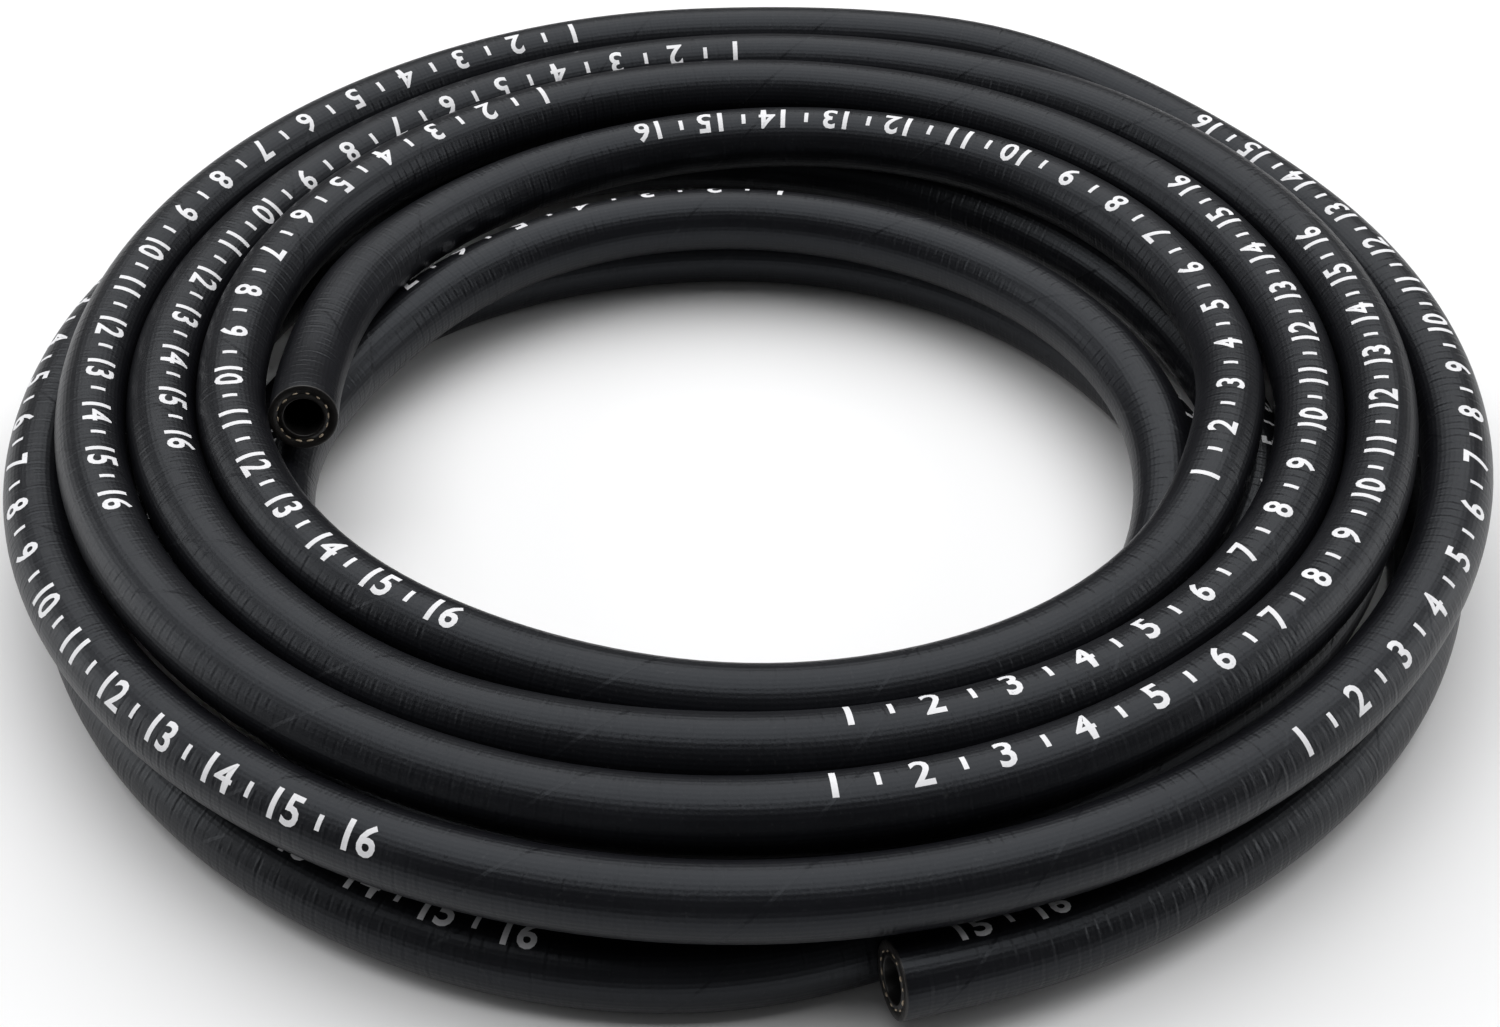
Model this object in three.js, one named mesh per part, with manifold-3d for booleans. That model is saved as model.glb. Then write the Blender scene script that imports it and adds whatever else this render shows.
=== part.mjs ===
import * as THREE from 'three';
import { mergeVertices } from 'three/addons/utils/BufferGeometryUtils.js';
import Module from 'manifold-3d';

// Rubber fuel hose, one length wound by hand into a flat coil of three layers that lies on the floor.
// Millimetres, +Z up. Angles are in degrees, clockwise from above: 0 is the back, +Y, and 90 is +X.
// The packed turns are two turned cores, the top one set back on the lower one, as the photo shows.
// The turns that run free are tubes: the inner end, the outer turn that drops, and the outer end.

// The hose's own section
const hoseOd = 16.5;
const hoseBore = 9.5;
const boreDepth = 60;
const sectionSides = 12;
const boreSides = 10;

// How the turns are packed
const turnGap = 0.3;
const layerRise = 14.5;
const topTurns = 3;
const topRadius = 128;
const underTurns = 2;
const middleTurns = 3;
const middleRadius = 106.5;
const bottomTurns = 2;
const bottomRadius = 110;
const topSetBack = 19;
const topSetRight = 5;
const turnedSteps = 48;

// The inner end starts inside the top layer, a little low with its cut end tipped up, and winds out
const innerEndAngle = 256;
const innerEndRadius = 109;
const innerEndSweep = 379;
const innerStraightSweep = 24;
const innerEndSag = 6;
const innerSagStart = 60;
const innerSagEnd = 257;
const innerEndTip = 6;

// The outer turn leaves the top layer at the back, sags beside it, drops at the left and tucks under
const outerTurnAngle = 345;
const outerTurnSweep = 400;
const outerTurnOut = 11;
const outerOutSweep = 150;
const outerTurnSag = 4.5;
const outerTurnDrop = 15;
const outerDropStart = 195;
const outerTuckStart = 335;
const outerTurnTuck = 28;
const outerTuckRise = 5;

// The outer end leaves the lower core at the right, comes down on the floor at the front,
// goes once round beside the core and ends in the cut at the front
const outerEndAngle = 110;
const outerEndSweep = 419;
const outerEndSetRight = 3.5;
const outerEndSetBack = 8;
const outerEndStartRadius = 140;
const outerEndFrontRadius = 162;
const outerEndRadius = 167;
const outerOutStart = 20;
const outerOutEnd = 100;
const outerDownSweep = 120;
const floorGap = 0.2;

const stepAngle = 7.5;
const sinkIn = 0.4;
const radius = hoseOd / 2;
const pitch = hoseOd + turnGap;
const bottomHeight = radius;
const middleHeight = bottomHeight + layerRise;
const topHeight = middleHeight + layerRise;
const sideAngle = 2 * Math.PI / sectionSides;
const corner = radius / Math.cos(sideAngle / 2);
const grooveMargin = toRadians(2);

const rubber = new THREE.MeshStandardMaterial({ color: 0x17171a, roughness: 0.5, metalness: 0 });

const wasm = await Module();
wasm.setup();

function toRadians(degrees) {
  return degrees * Math.PI / 180;
}

// Rises from 0 to 1 with a level start and a level end
function ease(share) {
  const x = Math.min(1, Math.max(0, share));
  return x * x * (3 - 2 * x);
}

// A row of turns in the coil's section, as the centres of their circles
function turnRow(count, innerRadius, height) {
  const centres = [];
  for (let i = 0; i < count; i += 1) {
    centres.push(new THREE.Vector2(innerRadius + i * pitch, height));
  }
  return centres;
}

// One turn's share of a core's outline: the arc that faces out between its two neighbours.
// Its facets lie square to the axes, and a groove is left where two turns meet.
function turnArc(centre, before, after) {
  const grooveTo = (other) => grooveMargin + Math.acos(Math.min(1, centre.distanceTo(other) / 2 / corner));
  const from = Math.atan2(before.y - centre.y, before.x - centre.x) - grooveTo(before);
  let to = Math.atan2(after.y - centre.y, after.x - centre.x) + grooveTo(after);
  while (to > from) {
    to -= 2 * Math.PI;
  }
  const first = Math.floor(from / sideAngle - 0.5);
  const last = Math.ceil(to / sideAngle - 0.5);
  const points = [];
  for (let k = first; k >= last; k -= 1) {
    const angle = (k + 0.5) * sideAngle;
    points.push(new THREE.Vector2(centre.x + corner * Math.cos(angle), centre.y + corner * Math.sin(angle)));
  }
  return points;
}

// The outline round a ring of turns
function coreOutline(turns) {
  return turns.flatMap((centre, i) => {
    const before = turns[(i + turns.length - 1) % turns.length];
    return turnArc(centre, before, turns[(i + 1) % turns.length]);
  });
}

function turned(outline) {
  const profile = [...outline].reverse();
  profile.push(profile[0].clone());
  const geometry = new THREE.LatheGeometry(profile, turnedSteps);
  geometry.rotateX(Math.PI / 2);
  return geometry;
}

function lowerCore() {
  const middle = turnRow(middleTurns, middleRadius, middleHeight);
  const bottom = turnRow(bottomTurns, bottomRadius, bottomHeight);
  return turned(coreOutline([...middle, ...bottom.reverse()]));
}

function topCore() {
  const top = turnRow(topTurns, topRadius, topHeight);
  const under = turnRow(underTurns, topRadius + pitch / 2, middleHeight);
  return turned(coreOutline([...top, ...under.reverse()])).translate(topSetRight, topSetBack, 0);
}

// A stretch of hose round an axis, as a smooth curve. radiusAt and heightAt take the angle run so far.
function arcRoute(startAngle, sweep, axis, radiusAt, heightAt) {
  const stations = Math.round(sweep / stepAngle);
  const points = [];
  for (let i = -1; i <= stations + 1; i += 1) {
    const run = sweep * i / stations;
    const angle = toRadians(startAngle + run);
    const r = radiusAt(run);
    points.push(new THREE.Vector3(axis.x + r * Math.sin(angle), axis.y + r * Math.cos(angle), heightAt(run)));
  }
  return new StretchOf(new THREE.CatmullRomCurve3(points), 1 / (stations + 2), (stations + 1) / (stations + 2));
}

// The part of a curve between two of its parameters, so that both ends keep the arc's own direction
class StretchOf extends THREE.Curve {
  constructor(whole, from, to) {
    super();
    this.whole = whole;
    this.from = from;
    this.to = to;
  }

  getPoint(t, target) {
    return this.whole.getPoint(this.from + (this.to - this.from) * t, target);
  }
}

function section(size, sides) {
  const points = [];
  for (let k = 0; k < sides; k += 1) {
    const angle = (k + 0.5) * 2 * Math.PI / sides;
    const reach = size / 2 / Math.cos(Math.PI / sides);
    points.push(new THREE.Vector2(reach * Math.cos(angle), reach * Math.sin(angle)));
  }
  return new THREE.Shape(points);
}

function tube(route, size, sides, steps) {
  return new THREE.ExtrudeGeometry(section(size, sides), { steps, bevelEnabled: false, extrudePath: route });
}

function hoseAlong(route, sweep) {
  return toSolid(tube(route, hoseOd, sectionSides, Math.round(sweep / stepAngle)));
}

// A cut end's own bore, open at the cut face, as deep as a fitting goes in
function boreFrom(route, atStart) {
  const share = boreDepth / route.getLength();
  const at = (step) => (atStart ? step * share / 6 : 1 - step * share / 6);
  const outward = route.getTangentAt(at(0)).multiplyScalar(atStart ? -1 : 1);
  const points = [route.getPointAt(at(0)).addScaledVector(outward, hoseBore / 2)];
  for (let step = 0; step <= 6; step += 1) {
    points.push(route.getPointAt(at(step)));
  }
  return toSolid(tube(new THREE.CatmullRomCurve3(points), hoseBore, boreSides, 8));
}

function toSolid(geometry) {
  const plain = new THREE.BufferGeometry();
  plain.setAttribute('position', geometry.getAttribute('position').clone());
  if (geometry.index) {
    plain.setIndex(geometry.index.clone());
  }
  const merged = mergeVertices(plain, 1e-4);
  const mesh = new wasm.Mesh({
    numProp: 3,
    vertProperties: new Float32Array(merged.getAttribute('position').array),
    triVerts: new Uint32Array(merged.index.array),
  });
  mesh.merge();
  return new wasm.Manifold(mesh);
}

function toGeometry(solid) {
  const mesh = solid.getMesh();
  const geometry = new THREE.BufferGeometry();
  geometry.setAttribute('position', new THREE.BufferAttribute(mesh.vertProperties, 3));
  geometry.setIndex(new THREE.BufferAttribute(mesh.triVerts, 1));
  geometry.computeVertexNormals();
  return geometry;
}

const topAxis = new THREE.Vector2(topSetRight, topSetBack);
const outerEndAxis = new THREE.Vector2(outerEndSetRight, outerEndSetBack);
const lastTopRadius = topRadius + (topTurns - 1) * pitch;

function innerEndRoute() {
  const outAt = (run) => Math.max(0, run - innerStraightSweep) / (innerEndSweep - innerStraightSweep);
  const sagAt = (run) => 1 - ease((run - innerSagStart) / (innerSagEnd - innerSagStart));
  const tipAt = (run) => Math.max(0, 1 - run / innerStraightSweep) ** 2;
  const radiusAt = (run) => innerEndRadius + (topRadius - innerEndRadius) * outAt(run);
  const heightAt = (run) => topHeight - sinkIn - innerEndSag * sagAt(run) + innerEndTip * tipAt(run);
  return arcRoute(innerEndAngle, innerEndSweep, topAxis, radiusAt, heightAt);
}

function outerTurnRoute() {
  const tuckAt = (run) => ease((run - outerTuckStart) / (outerTurnSweep - outerTuckStart));
  const dropAt = (run) => ease((run - outerDropStart) / (outerTuckStart - outerDropStart));
  const radiusAt = (run) => lastTopRadius + outerTurnOut * ease(run / outerOutSweep) - outerTurnTuck * tuckAt(run);
  const heightAt = (run) => topHeight - sinkIn - outerTurnSag * ease(run / outerOutSweep)
    - outerTurnDrop * dropAt(run) + outerTuckRise * tuckAt(run);
  return arcRoute(outerTurnAngle, outerTurnSweep, topAxis, radiusAt, heightAt);
}

function outerEndRoute() {
  const outAt = (run) => ease((run - outerOutStart) / (outerOutEnd - outerOutStart));
  const wideAt = (run) => ease((run - outerOutEnd) / (outerEndSweep - outerOutEnd));
  const radiusAt = (run) => outerEndStartRadius + (outerEndFrontRadius - outerEndStartRadius) * outAt(run)
    + (outerEndRadius - outerEndFrontRadius) * wideAt(run);
  const heightAt = (run) => bottomHeight + floorGap + layerRise * (1 - ease(run / outerDownSweep));
  return arcRoute(outerEndAngle, outerEndSweep, outerEndAxis, radiusAt, heightAt);
}

const innerRoute = innerEndRoute();
const outerRoute = outerTurnRoute();
const endRoute = outerEndRoute();

const coil = toSolid(lowerCore())
  .add(toSolid(topCore()))
  .add(hoseAlong(innerRoute, innerEndSweep))
  .add(hoseAlong(outerRoute, outerTurnSweep))
  .add(hoseAlong(endRoute, outerEndSweep))
  .subtract(boreFrom(innerRoute, true))
  .subtract(boreFrom(endRoute, false));

// Any pocket closed in between the turns is left solid
const [solidCoil] = coil.decompose().sort((one, other) => other.volume() - one.volume());

const hose = new THREE.Mesh(toGeometry(solidCoil), rubber);
hose.name = 'fuel_hose';

// The origin is on the floor, under the middle of the coil's box
hose.geometry.computeBoundingBox();
const middle = hose.geometry.boundingBox.getCenter(new THREE.Vector3());
hose.position.set(-middle.x, -middle.y, 0);

const coiledHose = new THREE.Group();
coiledHose.add(hose);

export default coiledHose;
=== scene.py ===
import math
import bmesh
import bpy
import numpy as np
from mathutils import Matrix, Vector


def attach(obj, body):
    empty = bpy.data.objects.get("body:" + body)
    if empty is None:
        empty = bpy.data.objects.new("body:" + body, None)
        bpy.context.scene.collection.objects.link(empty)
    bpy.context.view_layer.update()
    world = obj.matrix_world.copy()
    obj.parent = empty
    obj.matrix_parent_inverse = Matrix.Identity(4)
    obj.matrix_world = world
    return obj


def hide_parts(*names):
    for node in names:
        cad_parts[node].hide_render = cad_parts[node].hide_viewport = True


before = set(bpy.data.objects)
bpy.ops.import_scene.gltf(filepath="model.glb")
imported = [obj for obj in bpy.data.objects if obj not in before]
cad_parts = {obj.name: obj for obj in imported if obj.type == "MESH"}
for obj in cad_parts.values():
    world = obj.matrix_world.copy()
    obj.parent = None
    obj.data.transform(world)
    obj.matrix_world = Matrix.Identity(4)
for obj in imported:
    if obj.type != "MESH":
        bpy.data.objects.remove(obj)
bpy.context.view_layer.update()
scene = bpy.context.scene
scene.view_settings.view_transform = "Standard"
print("frame loaded")


# everything is in metres, +Z up; angles run clockwise from above, with 0 at the back
hose = {
    "outside": 0.0165,
    "bore": 0.0095,
    "aroundCover": 40,
    "aroundBore": 14,
    "ringGap": 0.005,            # along the hose
    "rimRound": 0.00035,
    "boreRound": 0.00025,
    "yarnRadius": 0.0061,        # the braid's place in the wall
    "yarnGroove": 0.00018,       # the braid lies in a shallow groove in each cut
    "yarnGrooveWide": 0.0008,
}

coil = {
    "startAngle": 256.0,         # the inner cut end
    "endTurn": 3154.5,           # all the turns, in degrees, to the outer cut end
    "startRadius": 0.1088,
    "pitch": 0.0169,             # the top layer is one even spiral
    "topAxis": (0.0022, 0.0065),
    "lowAxis": (-0.0038, -0.0125),
    "lastAxis": (-0.0004, -0.0045),
    # turn from the inner end, and the height there in millimetres
    "heights": [(0, 39.5), (6, 35.5), (16, 32), (45, 31), (130, 32), (190, 33), (240, 35), (290, 36.5),
                (340, 39), (400, 39.5), (560, 37.5), (740, 35.5), (860, 39), (920, 39.5), (1010, 36.5),
                (1080, 36.5), (1170, 38.5), (1225, 33.5), (1367, 31.5), (1427, 27.5), (1500, 17),
                (1557, 21), (1627, 22.5), (2090, 22.5), (2140, 18), (2200, 18), (2260, 22.5), (2350, 22.5),
                (2410, 13), (2450, 9), (2717, 8.5), (2750, 11), (2775, 12), (2800, 8.5), (3075, 8.3),
                (3155, 12.5)],
    # turn, share of the low axis, share of the last turn's axis
    "axes": [(1500, 0, 0), (2177, 1, 0), (2717, 1, 0), (2767, 0, 1), (3154, 0, 1)],
    # turn, and how many millimetres wider than even the top spiral is there
    "strays": [(0, 3), (20, -3), (50, -1), (120, 0), (1130, 0), (1229, -1.5), (1290, 1.5), (1367, 1)],
    # turn, and the radius in millimetres under the top layer, where the hose winds back in, then out
    "radii": [(1367, 174), (1440, 173.5), (1499, 171), (1627, 152), (1927, 130), (2204, 107), (2287, 105),
              (2407, 108), (2470, 114), (2530, 119), (2570, 117), (2610, 111), (2690, 113), (2717, 121),
              (2775, 152), (2795, 157.5), (2810, 162), (2824, 163.5), (2869, 162.5), (2894, 164),
              (3077, 168.5), (3155, 165.5)],
    # how many degrees each of them is smoothed over, to either side
    "radiusReach": 12,
    "heightReach": 9,
    "axisReach": 20,
}

settling = {
    "gap": 0.01655,              # turns end up about this far apart, or further
    "rounds": 160,
    "station": 0.01,             # along the hose
    "stationsApart": 7,          # nearer ones along the hose don't push each other
    "near": 0.026,
    "nearRounds": 20,            # rounds between two searches for near stations
    "beside": 0.0055,            # a station pushes what lies abreast of it, to within this
    "push": 0.35,
    "pullHome": 0.01,
    "stiffness": 0.6,
    "floorGap": 0.0001,
}

view = {
    "place": (0.0018, -0.5153, 0.4097),
    "down": 38.888,              # degrees below level
    "lens": 62.47,               # millimetres, as the sensor's width
    "sensor": 36.0,
}


def makeCamera():
    data = bpy.data.cameras.new("camera")
    data.lens = view["lens"]
    data.sensor_width = view["sensor"]
    data.clip_start = 0.02
    data.clip_end = 20
    camera = bpy.data.objects.new("camera", data)
    camera.location = view["place"]
    camera.rotation_euler = (math.radians(90 - view["down"]), 0, 0)
    scene.collection.objects.link(camera)
    scene.camera = camera


makeCamera()
print("camera ready")


def smoothAlong(values, reach):
    window = np.hanning(2 * reach + 3)[1:-1]
    window /= window.sum()
    before = 2 * values[0] - values[reach:0:-1]
    after = 2 * values[-1] - values[-2:-reach - 2:-1]
    return np.convolve(np.concatenate([before, values, after]), window, "valid")


def layTurns():
    turn = np.arange(0, coil["endTurn"] + 0.5, 1.0)
    strayTurn, stray = np.array(coil["strays"], float).T
    radius = coil["startRadius"] + coil["pitch"] * turn / 360 + np.interp(turn, strayTurn, stray / 1000)
    lowTurn, lowRadius = np.array(coil["radii"], float).T
    radius = np.where(turn < lowTurn[0], radius, np.interp(turn, lowTurn, lowRadius / 1000))
    heightTurn, height = np.array(coil["heights"], float).T
    height = np.interp(turn, heightTurn, height / 1000)
    axisTurn, lowShare, lastShare = np.array(coil["axes"], float).T
    low = np.interp(turn, axisTurn, lowShare)[:, None]
    last = np.interp(turn, axisTurn, lastShare)[:, None]
    axis = (np.array(coil["topAxis"]) * (1 - low - last) + np.array(coil["lowAxis"]) * low
            + np.array(coil["lastAxis"]) * last)
    radius = smoothAlong(radius, coil["radiusReach"])
    height = smoothAlong(height, coil["heightReach"])
    axisX, axisY = (smoothAlong(axis[:, i], coil["axisReach"]) for i in range(2))
    angle = np.radians(coil["startAngle"] + turn)
    return np.stack([axisX + radius * np.sin(angle), axisY + radius * np.cos(angle), height], 1)


def runOf(points):
    return np.concatenate([[0], np.cumsum(np.linalg.norm(np.diff(points, axis=0), axis=1))])


def evenly(points, gap):
    run = runOf(points)
    at = np.linspace(0, run[-1], int(round(run[-1] / gap)) + 1)
    return np.stack([np.interp(at, run, points[:, i]) for i in range(3)], 1)


def unit(vectors):
    return vectors / np.linalg.norm(vectors, axis=1)[:, None]


def settle(points):
    # turns that would share the same place push each other away, the floor holds them up,
    # and the hose's stiffness smooths the rest
    points, home = points.copy(), points.copy()
    one, other = np.triu_indices(len(points), settling["stationsApart"])
    for step in range(settling["rounds"]):
        if step % settling["nearRounds"] == 0:
            near = np.linalg.norm(points[one] - points[other], axis=1) < settling["near"]
            a, b = one[near], other[near]
        along = unit(np.gradient(points, axis=0))
        apart = points[a] - points[b]
        shift = (apart * along[b]).sum(1)
        apart -= shift[:, None] * along[b]
        distance = np.linalg.norm(apart, axis=1)
        short = np.clip(settling["gap"] - distance, 0, None) * (np.abs(shift) < settling["beside"])
        push = apart / np.maximum(distance, 1e-6)[:, None] * (short * settling["push"])[:, None]
        move, hits = np.zeros_like(points), np.zeros(len(points))
        np.add.at(move, a, push)
        np.add.at(move, b, -push)
        np.add.at(hits, a, short > 0)
        np.add.at(hits, b, short > 0)
        points += move / np.maximum(hits, 1)[:, None] * np.minimum(hits, 2)[:, None]
        points += settling["pullHome"] * (home - points)
        drift = evened(evened(points)) - points
        points += settling["stiffness"] * (drift - evened(drift))
        points[:, 2] = np.maximum(points[:, 2], hose["outside"] / 2 + settling["floorGap"])
    return points


def evened(rows):
    result = rows.copy()
    result[1:-1] = 0.5 * rows[1:-1] + 0.25 * (rows[:-2] + rows[2:])
    return result


def alongCurve(points, gap):
    # a smooth curve through the settled points, cut evenly
    count = len(points)
    padded = np.concatenate([[2 * points[0] - points[1]], points, [2 * points[-1] - points[-2]]])
    fine = []
    for t in np.arange(0, 1, 0.1):
        p0, p1, p2, p3 = padded[:-3], padded[1:-2], padded[2:-1], padded[3:]
        fine.append(0.5 * (2 * p1 + (p2 - p0) * t + (2 * p0 - 5 * p1 + 4 * p2 - p3) * t ** 2
                           + (3 * p1 - p0 - 3 * p2 + p3) * t ** 3))
    curve = np.stack(fine, 1).reshape((count - 1) * 10, 3)
    return evenly(np.concatenate([curve, points[-1:]]), gap)


hosePath = alongCurve(settle(evenly(layTurns(), settling["station"])), hose["ringGap"])
hoseRun = runOf(hosePath)
hoseAlong = unit(np.gradient(hosePath, axis=0))
hoseUp = unit(np.array([0, 0, 1.0]) - hoseAlong[:, 2:3] * hoseAlong)
hoseOut = np.cross(hoseUp, hoseAlong)
hoseLength = float(hoseRun[-1])
print("hose laid,", round(hoseLength, 3), "m")


def onHose(run, angle, radius):
    # points on a circle round the hose: angle is 0 on the coil's outside and a quarter turn on top
    frames = [np.stack([np.interp(run, hoseRun, rows[:, i]) for i in range(3)], -1)
              for rows in (hosePath, hoseOut, hoseUp)]
    place, out, up = frames
    outward = out * np.cos(angle)[..., None] + up * np.sin(angle)[..., None]
    return place + np.asarray(radius)[..., None] * outward


def makeObject(name, points, faces, materials, faceMaterials=None, smooth=True):
    mesh = bpy.data.meshes.new(name)
    mesh.from_pydata(np.asarray(points).tolist(), [], faces)
    for material in materials:
        mesh.materials.append(material)
    if faceMaterials is not None:
        mesh.polygons.foreach_set("material_index", faceMaterials)
    mesh.polygons.foreach_set("use_smooth", [smooth] * len(mesh.polygons))
    mesh.update()
    made = bpy.data.objects.new(name, mesh)
    scene.collection.objects.link(made)
    return made


def faceOutwards(made):
    shell = bmesh.new()
    shell.from_mesh(made.data)
    if shell.calc_volume(signed=True) < 0:
        bmesh.ops.reverse_faces(shell, faces=shell.faces[:])
    shell.to_mesh(made.data)
    shell.free()


def newGroup(name, inputs, outputs):
    group = bpy.data.node_groups.new(name, "ShaderNodeTree")
    for label, kind, value in inputs:
        socket = group.interface.new_socket(label, in_out="INPUT", socket_type=kind)
        if value is not None:
            socket.default_value = value
    for label, kind in outputs:
        group.interface.new_socket(label, in_out="OUTPUT", socket_type=kind)
    return group, group.nodes.new("NodeGroupInput"), group.nodes.new("NodeGroupOutput")


def link(tree, source, target):
    tree.links.new(source, target)


def mathNode(tree, operation, first, second=None, third=None):
    node = tree.nodes.new("ShaderNodeMath")
    node.operation = operation
    for socket, value in zip(node.inputs, (first, second, third)):
        if value is None:
            continue
        if isinstance(value, (int, float)):
            socket.default_value = value
        else:
            tree.links.new(value, socket)
    return node.outputs[0]


def noiseNode(tree, vector, scale, detail=2.0, rough=0.5, distortion=0.0):
    node = tree.nodes.new("ShaderNodeTexNoise")
    node.inputs["Scale"].default_value = scale
    node.inputs["Detail"].default_value = detail
    node.inputs["Roughness"].default_value = rough
    node.inputs["Distortion"].default_value = distortion
    if vector is not None:
        tree.links.new(vector, node.inputs["Vector"])
    return node.outputs["Fac"]


def scaled(tree, vector, factors):
    node = tree.nodes.new("ShaderNodeVectorMath")
    node.operation = "MULTIPLY"
    tree.links.new(vector, node.inputs[0])
    node.inputs[1].default_value = factors
    return node.outputs[0]


def rangeNode(tree, value, low, high, toLow=0.0, toHigh=1.0):
    node = tree.nodes.new("ShaderNodeMapRange")
    for name, number in (("From Min", low), ("From Max", high), ("To Min", toLow), ("To Max", toHigh)):
        node.inputs[name].default_value = number
    tree.links.new(value, node.inputs["Value"])
    return node.outputs["Result"]


wrap = {
    "ribGap": 0.0013,            # the curing wrap's weft, across the hose
    "threadGap": 0.0011,         # its warp, along the hose
    "tapeWidth": 0.055,          # one turn of the wrap
    "ribWander": 2.4,
    "fineRib": 0.45,             # heights, as shares of the cover's ribHeight
    "coarseRib": 0.75,
    "thread": 0.10,
    "lap": 0.9,
}


def makeWrapGroup():
    # the print that a woven curing wrap leaves in the cover: fine ribs across, fainter threads along,
    # and a faint step where one turn of the wrap overlaps the last
    group, start, end = newGroup("curingWrap", [("Place", "NodeSocketVector", None)],
                                 [("Height", "NodeSocketFloat"), ("Patch", "NodeSocketFloat")])
    place = start.outputs["Place"]
    split = group.nodes.new("ShaderNodeSeparateXYZ")
    link(group, place, split.inputs[0])
    along, around = split.outputs[0], split.outputs[1]
    wander = noiseNode(group, scaled(group, place, (90, 160, 1)), 1.0, 2.0)
    ribPhase = mathNode(group, "ADD", mathNode(group, "MULTIPLY", along, 2 * math.pi / wrap["ribGap"]),
                        mathNode(group, "MULTIPLY", wander, wrap["ribWander"]))
    rib = mathNode(group, "SINE", ribPhase)
    threadPhase = mathNode(group, "MULTIPLY", around, 2 * math.pi / wrap["threadGap"])
    thread = mathNode(group, "SINE", threadPhase)
    # every second rib stands out, and each along a part of its length only
    coarse = mathNode(group, "SINE", mathNode(group, "MULTIPLY", ribPhase, 0.5))
    rib = mathNode(group, "ADD", mathNode(group, "MULTIPLY", rib, wrap["fineRib"]),
                   mathNode(group, "MULTIPLY", coarse, wrap["coarseRib"]))
    breaks = noiseNode(group, scaled(group, place, (420, 190, 1)), 1.0, 3.0, 0.6)
    strength = rangeNode(group, breaks, 0.40, 0.68)
    patches = noiseNode(group, scaled(group, place, (26, 60, 1)), 1.0, 2.0)
    patch = rangeNode(group, patches, 0.35, 0.65, 0.35, 1.0)
    ribs = mathNode(group, "MULTIPLY", mathNode(group, "MULTIPLY", rib, strength), patch)
    threads = mathNode(group, "MULTIPLY", thread, wrap["thread"])
    turns = mathNode(group, "ADD", mathNode(group, "DIVIDE", along, wrap["tapeWidth"]),
                     mathNode(group, "DIVIDE", around, math.pi * hose["outside"]))
    step = rangeNode(group, mathNode(group, "FRACT", turns), 0.0, 0.02, 1.0, 0.0)
    lap = mathNode(group, "MULTIPLY", step, wrap["lap"])
    height = mathNode(group, "ADD", mathNode(group, "ADD", ribs, threads), lap)
    link(group, height, end.inputs["Height"])
    link(group, patch, end.inputs["Patch"])
    return group


def makeDustGroup():
    # where dust and handling have dulled the rubber
    group, start, end = newGroup("dustAndScuffs", [("Place", "NodeSocketVector", None)],
                                 [("Dust", "NodeSocketFloat"), ("Speck", "NodeSocketFloat")])
    place = start.outputs["Place"]
    broad = rangeNode(group, noiseNode(group, place, 28, 4.0, 0.6), 0.45, 0.75)
    fine = rangeNode(group, noiseNode(group, place, 900, 2.0, 0.6), 0.62, 0.78)
    link(group, mathNode(group, "MULTIPLY", broad, 0.8), end.inputs["Dust"])
    link(group, fine, end.inputs["Speck"])
    return group


wrapGroup = makeWrapGroup()
dustGroup = makeDustGroup()


def newMaterial(name):
    material = bpy.data.materials.new(name)
    material.use_nodes = True
    tree = material.node_tree
    shader = next(node for node in tree.nodes if node.type == "BSDF_PRINCIPLED")
    return material, tree, shader


def coordinates(tree, kind):
    node = tree.nodes.new("ShaderNodeTexCoord")
    return node.outputs[kind]


def placeGroup(tree, group, vector):
    node = tree.nodes.new("ShaderNodeGroup")
    node.node_tree = group
    link(tree, vector, node.inputs["Place"])
    return node


def mixColours(tree, factor, first, second):
    node = tree.nodes.new("ShaderNodeMix")
    node.data_type = "RGBA"
    link(tree, factor, node.inputs["Factor"])
    for index, colour in ((6, first), (7, second)):
        if isinstance(colour, tuple):
            node.inputs[index].default_value = (*colour, 1.0)
        else:
            link(tree, colour, node.inputs[index])
    return node.outputs[2]


def bumpNode(tree, height, strength, distance):
    node = tree.nodes.new("ShaderNodeBump")
    node.inputs["Strength"].default_value = strength
    node.inputs["Distance"].default_value = distance
    link(tree, height, node.inputs["Height"])
    return node.outputs["Normal"]


cover = {
    "colour": (0.0032, 0.0032, 0.0044),
    "worn": (0.0056, 0.0056, 0.0074),
    "speck": (0.05, 0.05, 0.05),
    "roughLow": 0.34,
    "roughHigh": 0.46,
    "ribHeight": 0.00009,
    "grain": 0.35,               # as a share of the ribs' height
    "shine": 0.3,
    "shineTint": (0.86, 0.92, 1.0),
}


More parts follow.
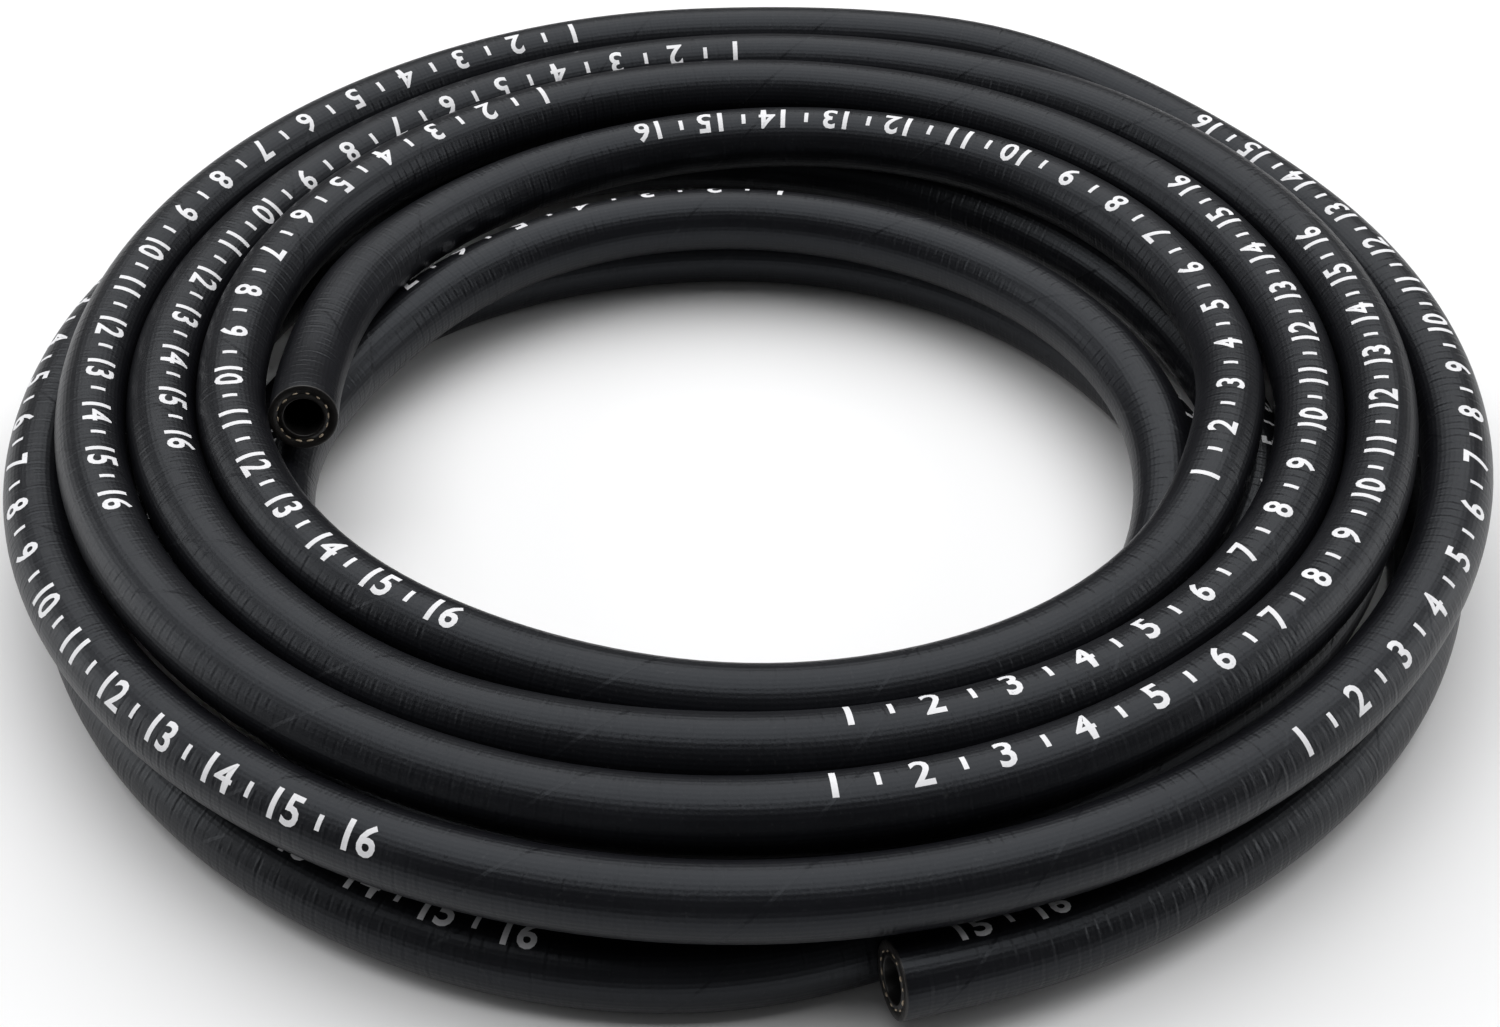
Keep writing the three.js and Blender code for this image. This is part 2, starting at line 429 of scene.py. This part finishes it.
def makeCover():
    material, tree, shader = newMaterial("hoseRubber")
    wrapNode = placeGroup(tree, wrapGroup, coordinates(tree, "UV"))
    dustNode = placeGroup(tree, dustGroup, coordinates(tree, "Object"))
    colour = mixColours(tree, dustNode.outputs["Dust"], cover["colour"], cover["worn"])
    specks = mathNode(tree, "MULTIPLY", dustNode.outputs["Speck"], 0.25)
    colour = mixColours(tree, specks, colour, cover["speck"])
    link(tree, colour, shader.inputs["Base Color"])
    dullness = mathNode(tree, "ADD", mathNode(tree, "MULTIPLY", wrapNode.outputs["Patch"], 0.5),
                        mathNode(tree, "MULTIPLY", dustNode.outputs["Dust"], 0.5))
    rough = rangeNode(tree, dullness, 0.0, 1.0, cover["roughLow"], cover["roughHigh"])
    link(tree, rough, shader.inputs["Roughness"])
    fineGrain = noiseNode(tree, coordinates(tree, "Object"), 2600, 2.0)
    grain = mathNode(tree, "MULTIPLY", fineGrain, cover["grain"])
    height = mathNode(tree, "ADD", wrapNode.outputs["Height"], grain)
    link(tree, bumpNode(tree, height, 1.0, cover["ribHeight"]), shader.inputs["Normal"])
    shader.inputs["Specular IOR Level"].default_value = cover["shine"]
    shader.inputs["Specular Tint"].default_value = (*cover["shineTint"], 1.0)
    return material


cutFace = {"dark": (0.003, 0.0026, 0.0024), "light": (0.011, 0.009, 0.008), "sawDepth": 0.00012}


def makeCutRubber():
    # the saw's marks across a fresh cut, and a trace of brown in the rubber inside
    material, tree, shader = newMaterial("cutRubber")
    place = coordinates(tree, "Object")
    streaks = noiseNode(tree, scaled(tree, place, (300, 300, 2400)), 1.0, 3.0, 0.6, 0.4)
    colour = mixColours(tree, streaks, cutFace["dark"], cutFace["light"])
    link(tree, colour, shader.inputs["Base Color"])
    link(tree, rangeNode(tree, streaks, 0.3, 0.7, 0.32, 0.5), shader.inputs["Roughness"])
    link(tree, bumpNode(tree, streaks, 0.6, cutFace["sawDepth"]), shader.inputs["Normal"])
    return material


liner = {"dark": (0.004, 0.004, 0.004), "light": (0.009, 0.008, 0.008), "rippleDepth": 0.0001}


def makeLiner():
    material, tree, shader = newMaterial("boreLiner")
    ripple = noiseNode(tree, scaled(tree, coordinates(tree, "UV"), (30, 300, 1)), 1.0, 2.0)
    colour = mixColours(tree, ripple, liner["dark"], liner["light"])
    link(tree, colour, shader.inputs["Base Color"])
    link(tree, rangeNode(tree, ripple, 0.3, 0.7, 0.35, 0.5), shader.inputs["Roughness"])
    link(tree, bumpNode(tree, ripple, 0.4, liner["rippleDepth"]), shader.inputs["Normal"])
    return material


yarnLook = {"dark": (0.22, 0.16, 0.10), "light": (0.62, 0.53, 0.40), "fibreDepth": 0.0001, "rough": 0.85}


def makeYarn():
    material, tree, shader = newMaterial("braidYarn")
    fibres = noiseNode(tree, scaled(tree, coordinates(tree, "Object"), (5200, 5200, 1700)), 1.0, 3.0, 0.7)
    colour = mixColours(tree, fibres, yarnLook["dark"], yarnLook["light"])
    link(tree, colour, shader.inputs["Base Color"])
    link(tree, bumpNode(tree, fibres, 0.9, yarnLook["fibreDepth"]), shader.inputs["Normal"])
    shader.inputs["Roughness"].default_value = yarnLook["rough"]
    return material


ink = {"fresh": (0.80, 0.80, 0.82), "worn": (0.40, 0.40, 0.42), "depth": 0.00003, "rough": 0.5}


def makeInk():
    # white ink on rubber: nearly solid, thin in places and finely pinholed
    material, tree, shader = newMaterial("whiteInk")
    place = coordinates(tree, "Object")
    thin = rangeNode(tree, noiseNode(tree, place, 1500, 3.0, 0.65), 0.60, 0.72, 0.0, 0.55)
    patchy = rangeNode(tree, noiseNode(tree, place, 130, 2.0, 0.5), 0.3, 0.7, 0.0, 0.25)
    wear = mathNode(tree, "MAXIMUM", thin, patchy)
    colour = mixColours(tree, wear, ink["fresh"], ink["worn"])
    link(tree, colour, shader.inputs["Base Color"])
    link(tree, bumpNode(tree, thin, 0.4, ink["depth"]), shader.inputs["Normal"])
    shader.inputs["Roughness"].default_value = ink["rough"]
    return material


coverRubber = makeCover()
cutRubber = makeCutRubber()
boreLiner = makeLiner()
braidYarn = makeYarn()
whiteInk = makeInk()
print("materials made")


def makeHose():
    # cover, cut ends and bore in one closed skin
    outer, inner = hose["outside"] / 2, hose["bore"] / 2
    aroundCover, aroundBore = hose["aroundCover"], hose["aroundBore"]
    rim, lip, yarn = hose["rimRound"], hose["boreRound"], hose["yarnRadius"]
    groove, half = hose["yarnGroove"], hose["yarnGrooveWide"] / 2
    quarter = [math.radians(d) for d in (0, 30, 60, 90)]
    # depth behind the cut and radius, from the bore out to the cover
    endRows = [(lip * (1 - math.sin(t)), inner + lip * (1 - math.cos(t))) for t in quarter]
    endRows += [(0.0, yarn - half), (groove, yarn - 0.6 * half)]
    endRows += [(groove, yarn + 0.6 * half), (0.0, yarn + half)]
    endRows += [(rim * (1 - math.cos(t)), outer - rim * (1 - math.sin(t))) for t in quarter]
    stations = hoseRun[1:-1]
    coverSlot, cutSlot, linerSlot = 0, 1, 2
    # each row of the skin: run along the hose, radius, and the material of the band after it
    rows = [(depth, radius, cutSlot) for depth, radius in endRows[:-1]] + [(rim, outer, coverSlot)]
    rows += [(run, outer, coverSlot) for run in stations]
    rows += [(hoseLength - depth, radius, cutSlot) for depth, radius in endRows[:0:-1]]
    rows += [(hoseLength - lip, inner, linerSlot)]
    borePath = [(run, inner, linerSlot) for run in stations[::-1]]

    def rings(some, around):
        runs = np.repeat([row[0] for row in some], around)
        radii = np.repeat([row[1] for row in some], around)
        return onHose(runs, np.tile(np.arange(around) * 2 * math.pi / around, len(some)), radii)

    points = np.concatenate([rings(rows, aroundCover), rings(borePath, aroundBore)])
    faces, slots, uvs = [], [], []
    girth = 2 * math.pi * outer

    def band(startA, countA, runA, startB, countB, runB, slot):
        # joins two rings, which may have different numbers of points
        a = b = 0
        while a < countA or b < countB:
            stepA = a < countA and (b >= countB or (a + 1) / countA <= (b + 1) / countB + 1e-9)
            stepB = b < countB and (a >= countA or (b + 1) / countB <= (a + 1) / countA + 1e-9)
            corners = [(startA + a % countA, runA, a / countA)]
            if stepA:
                corners.append((startA + (a + 1) % countA, runA, (a + 1) / countA))
            if stepB:
                corners.append((startB + (b + 1) % countB, runB, (b + 1) / countB))
            corners.append((startB + b % countB, runB, b / countB))
            faces.append([point for point, _, _ in corners])
            uvs.extend([(run, share * girth) for _, run, share in corners])
            slots.append(slot)
            a += stepA
            b += stepB

    ringList = [(k * aroundCover, aroundCover, row[0]) for k, row in enumerate(rows)]
    boreStart = len(rows) * aroundCover
    ringList += [(boreStart + k * aroundBore, aroundBore, row[0]) for k, row in enumerate(borePath)]
    for k, row in enumerate(rows + borePath):
        band(*ringList[k], *ringList[(k + 1) % len(ringList)], row[2])
    made = makeObject("fuelHose", points, faces, [coverRubber, cutRubber, boreLiner], slots)
    layer = made.data.uv_layers.new(name="UVMap")
    layer.data.foreach_set("uv", np.array(uvs).ravel())
    faceOutwards(made)
    return made


hosePiece = makeHose()
print("hose made,", len(hosePiece.data.polygons), "faces")


# the braid's yarn ends, in a ring on each cut
yarns = {
    "count": 14,
    "wide": 0.0016,
    "thick": 0.00045,
    "proud": 0.00002,
    "leastShare": (0.45, 0.7, 0.5),
    "mostShare": (1.15, 1.2, 1.2),
    "leastNudge": (-0.0004, -0.0004, -0.0002),
    "mostNudge": (0.0004, 0.0004, 0.0),
    "innerSeed": 7,
    "outerSeed": 19,
}


def makeYarnTree():
    tree = bpy.data.node_groups.new("yarnEnds", "GeometryNodeTree")
    tree.interface.new_socket("Geometry", in_out="INPUT", socket_type="NodeSocketGeometry")
    for label, kind, value in (("Radius", "NodeSocketFloat", hose["yarnRadius"]),
                               ("Count", "NodeSocketInt", yarns["count"]),
                               ("Wide", "NodeSocketFloat", yarns["wide"]),
                               ("Thick", "NodeSocketFloat", yarns["thick"]),
                               ("Seed", "NodeSocketInt", yarns["innerSeed"])):
        tree.interface.new_socket(label, in_out="INPUT", socket_type=kind).default_value = value
    tree.interface.new_socket("Yarn", in_out="INPUT", socket_type="NodeSocketMaterial")
    tree.interface.new_socket("Geometry", in_out="OUTPUT", socket_type="NodeSocketGeometry")
    start, end = tree.nodes.new("NodeGroupInput"), tree.nodes.new("NodeGroupOutput")
    ring = tree.nodes.new("GeometryNodeCurvePrimitiveCircle")
    link(tree, start.outputs["Radius"], ring.inputs["Radius"])
    spread = tree.nodes.new("GeometryNodeResampleCurve")
    link(tree, ring.outputs["Curve"], spread.inputs["Curve"])
    link(tree, start.outputs["Count"], spread.inputs["Count"])
    tangent = tree.nodes.new("GeometryNodeInputTangent")
    turn = tree.nodes.new("FunctionNodeAlignRotationToVector")
    turn.axis = "X"
    link(tree, tangent.outputs[0], turn.inputs["Vector"])
    tuft = tree.nodes.new("GeometryNodeMeshUVSphere")
    tuft.inputs["Segments"].default_value = 12
    tuft.inputs["Rings"].default_value = 7
    tuft.inputs["Radius"].default_value = 0.5
    size = tree.nodes.new("ShaderNodeCombineXYZ")
    for source, target in (("Wide", "X"), ("Thick", "Y"), ("Thick", "Z")):
        link(tree, start.outputs[source], size.inputs[target])
    shape = tree.nodes.new("GeometryNodeTransform")
    link(tree, tuft.outputs["Mesh"], shape.inputs["Geometry"])
    link(tree, size.outputs[0], shape.inputs["Scale"])
    vary = tree.nodes.new("FunctionNodeRandomValue")
    vary.data_type = "FLOAT_VECTOR"
    vary.inputs[0].default_value = yarns["leastShare"]
    vary.inputs[1].default_value = yarns["mostShare"]
    link(tree, start.outputs["Seed"], vary.inputs["Seed"])
    jitter = tree.nodes.new("FunctionNodeRandomValue")
    jitter.data_type = "FLOAT_VECTOR"
    jitter.inputs[0].default_value = yarns["leastNudge"]
    jitter.inputs[1].default_value = yarns["mostNudge"]
    link(tree, start.outputs["Seed"], jitter.inputs["Seed"])
    nudge = tree.nodes.new("GeometryNodeSetPosition")
    points = tree.nodes.new("GeometryNodeInstanceOnPoints")
    link(tree, spread.outputs["Curve"], nudge.inputs["Geometry"])
    link(tree, jitter.outputs[0], nudge.inputs["Offset"])
    link(tree, nudge.outputs["Geometry"], points.inputs["Points"])
    link(tree, shape.outputs["Geometry"], points.inputs["Instance"])
    link(tree, turn.outputs["Rotation"], points.inputs["Rotation"])
    link(tree, vary.outputs[0], points.inputs["Scale"])
    real = tree.nodes.new("GeometryNodeRealizeInstances")
    link(tree, points.outputs["Instances"], real.inputs["Geometry"])
    paint = tree.nodes.new("GeometryNodeSetMaterial")
    link(tree, real.outputs["Geometry"], paint.inputs["Geometry"])
    link(tree, start.outputs["Yarn"], paint.inputs["Material"])
    link(tree, paint.outputs["Geometry"], end.inputs["Geometry"])
    return tree


def modifierInput(modifier, tree, label, value):
    item = next(i for i in tree.interface.items_tree if i.name == label and i.in_out == "INPUT")
    modifier[item.identifier] = value


def bakeTree(name, tree, values):
    holder = bpy.data.objects.new(name + "Holder", bpy.data.meshes.new(name + "Holder"))
    scene.collection.objects.link(holder)
    modifier = holder.modifiers.new("nodes", "NODES")
    modifier.node_group = tree
    for label, value in values.items():
        modifierInput(modifier, tree, label, value)
    mesh = bpy.data.meshes.new_from_object(holder.evaluated_get(bpy.context.evaluated_depsgraph_get()))
    holder.modifiers.remove(modifier)
    bpy.data.objects.remove(holder)
    made = bpy.data.objects.new(name, mesh)
    scene.collection.objects.link(made)
    return made


def makeYarnEnds(name, atStart, seed):
    made = bakeTree(name, yarnTree, {"Seed": seed, "Yarn": braidYarn})
    row = 0 if atStart else -1
    outward = hoseAlong[row] * (-1 if atStart else 1)
    side = hoseOut[row]
    over = np.cross(outward, side)
    points = np.array([vertex.co for vertex in made.data.vertices])
    points[:, 2] += yarns["proud"]
    placed = hosePath[row] + points[:, :1] * side + points[:, 1:2] * over + points[:, 2:] * outward
    made.data.vertices.foreach_set("co", placed.astype(np.float32).ravel())
    made.data.polygons.foreach_set("use_smooth", [True] * len(made.data.polygons))
    made.data.update()
    return made


yarnTree = makeYarnTree()
yarnPieces = [makeYarnEnds("yarnEndsInner", True, yarns["innerSeed"]),
              makeYarnEnds("yarnEndsOuter", False, yarns["outerSeed"])]
print("yarn ends made")


# the printed scale: plain numbers and ticks, repeated along the hose
marks = {
    "first": 0.4440,             # where the scale nearest the inner end starts; it reads towards that end
    "repeat": 0.4655,
    "numbers": 16,
    "numberGap": 0.0178,
    "tall": 0.0069,
    "narrow": 0.98,              # width, as a share of the font's own
    "bold": 0.00022,             # how far the font's strokes are widened on each side
    "tickTall": 0.0034,
    "tickWide": 0.0011,
    "raise": 0.00004,
    "sink": 0.00012,
    "strip": 0.00105,            # glyphs are cut in strips this wide, so that they bend round the hose
    # run along the hose, and the angle round it where the print lies, before the sway
    "angles": [(0, 103), (0.6, 92), (0.9, 96), (1.2, 90), (1.45, 118), (1.85, 118), (2.2, 92), (2.55, 112),
               (2.95, 100), (3.15, 62), (3.7, 56), (4.2, 95), (5.2, 55), (6.5, 52), (6.8, 122), (7.7, 118)],
    "sway": 9,                   # degrees added to them at the back, and taken off at the front
    "startGap": 0.3,             # from the scale's start to the middle of its 1, in numberGaps
    "clearOfCut": 0.012,
}


def embolden(shape):
    # every stroke of the flat number grows by the same width, so the hole in a 4 stays open
    shape.normal_update()
    moves = {}
    for vertex in shape.verts:
        outwards = []
        for edge in vertex.link_edges:
            if edge.is_boundary:
                corner = edge.link_loops[0]
                along = (corner.link_loop_next.vert.co - corner.vert.co).normalized()
                outwards.append(along.cross(corner.face.normal))
        if outwards:
            mean = sum(outwards, Vector()).normalized()
            moves[vertex] = mean * marks["bold"] / max(mean.dot(outwards[0]), 0.5)
    for vertex, move in moves.items():
        vertex.co += move


def glyphMesh(text):
    # one number as a flat sheet, cut in strips
    data = bpy.data.curves.new("glyph", "FONT")
    data.body = text
    data.size = 0.01
    data.resolution_u = 3
    data.align_x = "CENTER"
    holder = bpy.data.objects.new("glyph", data)
    scene.collection.objects.link(holder)
    mesh = bpy.data.meshes.new_from_object(holder.evaluated_get(bpy.context.evaluated_depsgraph_get()))
    bpy.data.objects.remove(holder)
    shape = bmesh.new()
    shape.from_mesh(mesh)
    bmesh.ops.remove_doubles(shape, verts=shape.verts[:], dist=1e-6)
    embolden(shape)
    low = min(vertex.co.y for vertex in shape.verts)
    high = max(vertex.co.y for vertex in shape.verts)
    size = marks["tall"] / (high - low)
    bmesh.ops.scale(shape, vec=(size * marks["narrow"], size, 1), verts=shape.verts[:])
    low, high = low * size, high * size
    cuts = int((high - low) / marks["strip"])
    for k in range(1, cuts + 1):
        level = low + (high - low) * k / (cuts + 1)
        bmesh.ops.bisect_plane(shape, geom=shape.verts[:] + shape.edges[:] + shape.faces[:], dist=1e-7,
                               plane_co=(0, level, 0), plane_no=(0, 1, 0))
    bmesh.ops.triangulate(shape, faces=shape.faces[:])
    shape.verts.index_update()
    points = np.array([vertex.co[:2] for vertex in shape.verts])
    points[:, 1] -= (low + high) / 2
    faces = [[vertex.index for vertex in face.verts] for face in shape.faces]
    if sum(face.normal.z for face in shape.faces) < 0:
        faces = [face[::-1] for face in faces]
    shape.free()
    bpy.data.meshes.remove(mesh)
    return points, faces


def tickMesh():
    wide, tall = marks["tickWide"] / 2, marks["tickTall"] / 2
    levels = np.linspace(-tall, tall, 4)
    points = np.array([(x, y) for y in levels for x in (-wide, wide)])
    faces = [[2 * k, 2 * k + 1, 2 * k + 3, 2 * k + 2] for k in range(3)]
    return points, faces


def closedSheet(faces, count):
    # the sheet's underside and its edges
    used = {}
    for face in faces:
        for a, b in zip(face, face[1:] + face[:1]):
            used[(a, b)] = True
    under = [[point + count for point in face[::-1]] for face in faces]
    sides = [[b, a, a + count, b + count] for a, b in used if (b, a) not in used]
    return faces + under + sides


def makePrint():
    glyphs = {number: glyphMesh(str(number)) for number in range(1, marks["numbers"] + 1)}
    tick = tickMesh()
    angleRun, angleAt = np.array(marks["angles"], float).T
    points, faces, total = [], [], 0
    for start in np.arange(marks["first"], hoseLength + marks["repeat"], marks["repeat"]):
        for step in range(2 * marks["numbers"] - 1):
            number = step // 2 + 1
            sheet, sheetFaces = glyphs[number] if step % 2 == 0 else tick
            middle = start - marks["numberGap"] * (marks["startGap"] + step / 2)
            if not marks["clearOfCut"] <= middle <= hoseLength - marks["clearOfCut"]:
                continue
            x, y = (np.interp(middle, hoseRun, hosePath[:, i]) for i in range(2))
            bearing = math.atan2(x, y)
            angle = math.radians(np.interp(middle, angleRun, angleAt) + marks["sway"] * math.cos(bearing))
            runs = middle - sheet[:, 0]
            around = angle + sheet[:, 1] / (hose["outside"] / 2)
            for radius in (hose["outside"] / 2 + marks["raise"], hose["outside"] / 2 - marks["sink"]):
                points.append(onHose(runs, around, np.full(len(runs), radius)))
            faces += [[point + total for point in face] for face in closedSheet(sheetFaces, len(sheet))]
            total += 2 * len(sheet)
    made = makeObject("printedScale", np.concatenate(points), faces, [whiteInk], smooth=False)
    faceOutwards(made)
    return made


printPiece = makePrint()
print("print made,", len(printPiece.data.polygons), "faces")


studio = {
    "floor": (0.88, 0.88, 0.885),
    "sky": 0.10,
    "backdrop": 0.75,            # added where the camera looks past the floor
    "floorReach": 6.0,
    "top": {"place": (0.0, 0.60, 1.7), "size": 3.0, "power": 64},
    "left": {"place": (-1.9, 0.3, 0.6), "size": 1.3, "power": 12},
    "right": {"place": (1.9, 0.3, 0.6), "size": 1.3, "power": 12},
}


def makeStage():
    material, tree, shader = newMaterial("paleFloor")
    shader.inputs["Base Color"].default_value = (*studio["floor"], 1)
    shader.inputs["Roughness"].default_value = 0.9
    reach = studio["floorReach"]
    corners = [(-reach, -reach, 0), (reach, -reach, 0), (reach, reach, 0), (-reach, reach, 0)]
    floor = makeObject("floor", corners, [[0, 1, 2, 3]], [material], smooth=False)
    world = bpy.data.worlds.new("studio")
    world.use_nodes = True
    background = world.node_tree.nodes["Background"]
    background.inputs["Color"].default_value = (1, 1, 1, 1)
    rays = world.node_tree.nodes.new("ShaderNodeLightPath")
    strength = mathNode(world.node_tree, "MULTIPLY_ADD", rays.outputs["Is Camera Ray"],
                        studio["backdrop"], studio["sky"])
    link(world.node_tree, strength, background.inputs["Strength"])
    scene.world = world
    for name in ("top", "left", "right"):
        lamp = studio[name]
        data = bpy.data.lights.new(name + "Softbox", "AREA")
        data.size = lamp["size"]
        data.energy = lamp["power"]
        light = bpy.data.objects.new(name + "Softbox", data)
        light.location = lamp["place"]
        light.rotation_euler = (-Vector(lamp["place"])).to_track_quat("-Z", "Y").to_euler()
        scene.collection.objects.link(light)


makeStage()
print("stage ready")


for piece in [hosePiece, printPiece, *yarnPieces]:
    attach(piece, "root")
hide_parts("fuel_hose")
